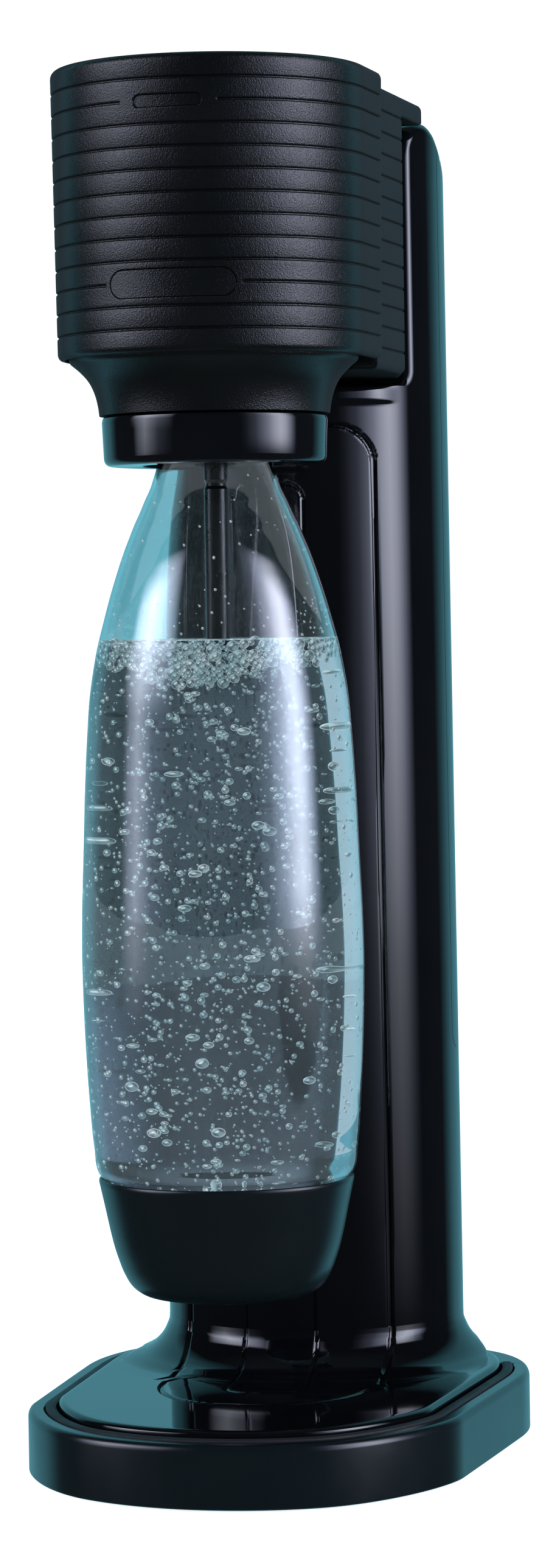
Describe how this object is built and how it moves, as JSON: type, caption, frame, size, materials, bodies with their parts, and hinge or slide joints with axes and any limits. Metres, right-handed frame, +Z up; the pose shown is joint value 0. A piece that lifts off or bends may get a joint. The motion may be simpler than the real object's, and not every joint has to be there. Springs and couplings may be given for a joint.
{
  "type": "soda carbonator",
  "caption": "Tall manual soda carbonator: D-shaped base, gloss column holding a gas cylinder, ribbed push-button head and a clear bottle hanging from a tilting ring.",
  "frame": {"origin": "on the table plane under the middle of the bounding box", "axes": "+Z up, -Y to the front where the bottle hangs, +X to the right as seen by someone facing the back, which is the right side seen from the front"},
  "size_m": [0.1448, 0.1886, 0.4253],
  "materials": {
    "matte_black": "fine satin texture",
    "gloss_black": "high gloss",
    "satin_black": "satin",
    "trim_black": "coarse matte",
    "clear_plastic": "clear",
    "rubber": "matte",
    "inner_plastic": "matte",
    "white_plastic": "satin",
    "steel": "satin",
    "brass": "satin",
    "cylinder_paint": "satin"
  },
  "bodies": {
    "base": {"base_skirt": "gloss_black", "base_band": "trim_black", "base_top": "gloss_black", "bottom_plate": "inner_plastic", "foot_1": "rubber", "foot_2": "rubber", "foot_3": "rubber", "foot_4": "rubber", "screw_1": "steel", "screw_2": "steel", "screw_3": "steel", "screw_4": "steel", "column_shell": "gloss_black", "front_panel": "gloss_black", "cylinder_seat": "inner_plastic", "head_housing": "matte_black", "bowl": "matte_black", "valve_block": "brass", "valve_bracket": "steel", "lever_pin": "steel", "relief_valve": "brass", "gas_tube": "white_plastic", "button_spring": "steel"},
    "rear_cover": {"rear_cover": "gloss_black"},
    "gas_cylinder": {"cylinder_body": "cylinder_paint", "cylinder_valve": "brass", "cylinder_collar": "white_plastic"},
    "button": {"button_shell": "matte_black", "slot_insert": "gloss_black", "badge_plate": "gloss_black"},
    "lever": {"lever": "steel"},
    "valve_pin": {"valve_pin": "steel"},
    "holder": {"holder_ring": "gloss_black", "neck_seal": "rubber", "nozzle_hub": "inner_plastic", "nozzle_tube": "satin_black"},
    "bottle": {"bottle_body": "clear_plastic", "bottle_cup": "satin_black"}
  },
  "joints": [
    {"name": "button_press", "type": "slide", "parent": "base", "child": "button", "axis": [0, 0, -1], "range_m": [0, 0.003], "stiffness_N_per_m": 2500, "springref_m": -0.001, "deforming": ["button_spring"]},
    {"name": "lever_turn", "type": "hinge", "parent": "base", "child": "lever", "pos_m": [0, 0.07134, 0.377], "axis": [1, 0, 0], "range_deg": [0, 1.6]},
    {"name": "valve_pin_slide", "type": "slide", "parent": "base", "child": "valve_pin", "axis": [0, 0, -1], "range_m": [0, 0.0006]},
    {"name": "holder_tilt", "type": "hinge", "parent": "base", "child": "holder", "pos_m": [0, -0.08056, 0.3223], "axis": [1, 0, 0], "range_deg": [-12, 0]},
    {"name": "bottle_slide", "type": "slide", "parent": "holder", "child": "bottle", "axis": [0, 0, -1], "range_m": [0, 0.03]},
    {"name": "rear_cover_slide", "type": "slide", "parent": "base", "child": "rear_cover", "axis": [0, 1, 0], "range_m": [0, 0.045]},
    {"name": "cylinder_turn", "type": "hinge", "parent": "base", "child": "gas_cylinder", "pos_m": [0, 0.05284, 0.318], "axis": [0, 0, 1], "range_deg": [-90, 0]}
  ],
  "couplings": [
    {"joint": "lever_turn", "follows": "button_press", "rad_per_m": 8.4746},
    {"joint": "valve_pin_slide", "follows": "button_press", "ratio": 0.1568}
  ]
}
